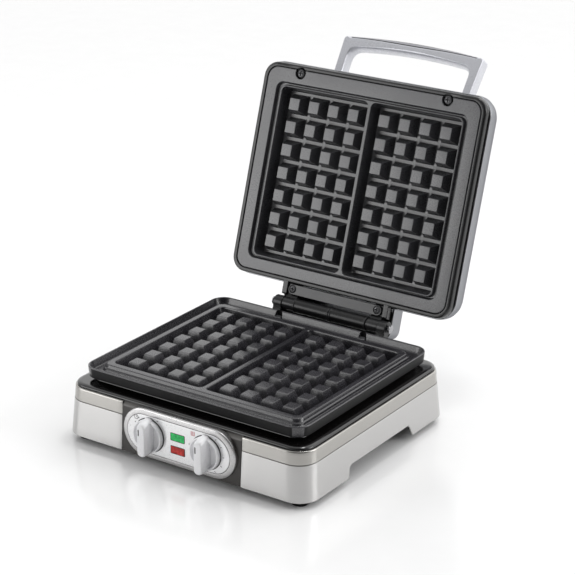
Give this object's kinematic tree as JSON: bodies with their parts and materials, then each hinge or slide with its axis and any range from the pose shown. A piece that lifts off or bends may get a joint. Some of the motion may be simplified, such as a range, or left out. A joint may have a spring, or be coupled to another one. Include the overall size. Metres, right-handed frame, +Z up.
{
  "type": "waffle maker",
  "caption": "Table-top waffle maker with a hinged lid, studded non-stick plates, brushed covers, a bow handle on the lid, two dials and two indicator lamps on the front.",
  "frame": {"origin": "middle of the footprint of the whole open appliance, on the table plane under the feet", "axes": "+Z up, +Y from the controls to the hinge, +X to the right seen from the controls"},
  "size_m": [0.2668, 0.4095, 0.3073],
  "materials": {
    "nonstick_plate": "dark grey non-stick coating on cast aluminium, satin",
    "brushed_shell": "brushed silver",
    "handle_silver": "satin silver paint",
    "grip_strip": "fine diagonal hatching",
    "panel_dark": "warm dark grey, satin",
    "deck_black": "black, glossy",
    "black_plastic": "black, fine grain",
    "hinge_black": "black, satin",
    "control_silver": "silver white, satin",
    "lens_green": "translucent green",
    "lens_red": "translucent red",
    "lamp_glass": "clear",
    "foot_rubber": "black, matt",
    "steel": "zinc plated",
    "dark_screw": "dark, satin",
    "element_sheath": "heat darkened",
    "reflector": "bright sheet",
    "ceramic_beige": "matt",
    "lead_sleeve": "matt"
  },
  "bodies": {
    "base": {"lower_plate": "nonstick_plate", "lower_plate_screw_left": "dark_screw", "lower_plate_screw_right": "dark_screw", "lower_heating_element": "element_sheath", "lower_element_strap": "steel", "lower_reflector": "reflector", "base_deck": "deck_black", "base_housing": "panel_dark", "side_cover_right": "brushed_shell", "side_cover_left": "brushed_shell", "bottom_cover": "black_plastic", "foot_front_left": "foot_rubber", "foot_front_right": "foot_rubber", "foot_rear_left": "foot_rubber", "foot_rear_right": "foot_rubber", "case_screw_front_left": "steel", "case_screw_front_right": "steel", "case_screw_rear_left": "steel", "case_screw_rear_right": "steel", "control_bezel": "control_silver", "ready_lens_green": "lens_green", "power_lens_red": "lens_red", "ready_lamp": "lamp_glass", "power_lamp": "lamp_glass", "timer_unit": "reflector", "thermostat_unit": "ceramic_beige", "terminal_block": "ceramic_beige", "thermal_fuse": "reflector", "cord_gland": "black_plastic", "timer_lead": "lead_sleeve", "thermostat_lead": "lead_sleeve", "element_lead": "lead_sleeve", "hinge_lug_left": "hinge_black", "hinge_lug_right": "hinge_black", "hinge_pin": "steel", "hinge_sleeve_left": "hinge_black", "hinge_sleeve_right": "hinge_black"},
    "timer": {"timer_knob": "control_silver", "timer_shaft": "steel"},
    "thermostat": {"thermostat_knob": "control_silver", "thermostat_shaft": "steel"},
    "lid": {"upper_plate": "nonstick_plate", "upper_heating_element": "element_sheath", "upper_element_strap": "steel", "upper_reflector": "reflector", "lid_frame": "black_plastic", "lid_shell": "brushed_shell", "handle_frame": "handle_silver", "handle_grip_strip": "grip_strip", "upper_plate_screw_left": "dark_screw", "upper_plate_screw_right": "dark_screw", "hinge_screw_left": "dark_screw", "hinge_screw_right": "dark_screw", "handle_screw_left": "steel", "handle_screw_right": "steel", "hinge_cover_strip": "nonstick_plate", "hinge_arm_left": "hinge_black", "hinge_arm_right": "hinge_black"}
  },
  "joints": [
    {"name": "lid_hinge", "type": "hinge", "parent": "base", "child": "lid", "pos_m": [0, 0.05196, 0.0713], "axis": [1, 0, 0], "range_deg": [0, 107.8]},
    {"name": "timer_turn", "type": "hinge", "parent": "base", "child": "timer", "pos_m": [-0.031, -0.1917, 0.0311], "axis": [0, 1, 0], "range_deg": [0, 300]},
    {"name": "thermostat_turn", "type": "hinge", "parent": "base", "child": "thermostat", "pos_m": [0.031, -0.1917, 0.0311], "axis": [0, 1, 0], "range_deg": [0, 270]}
  ]
}
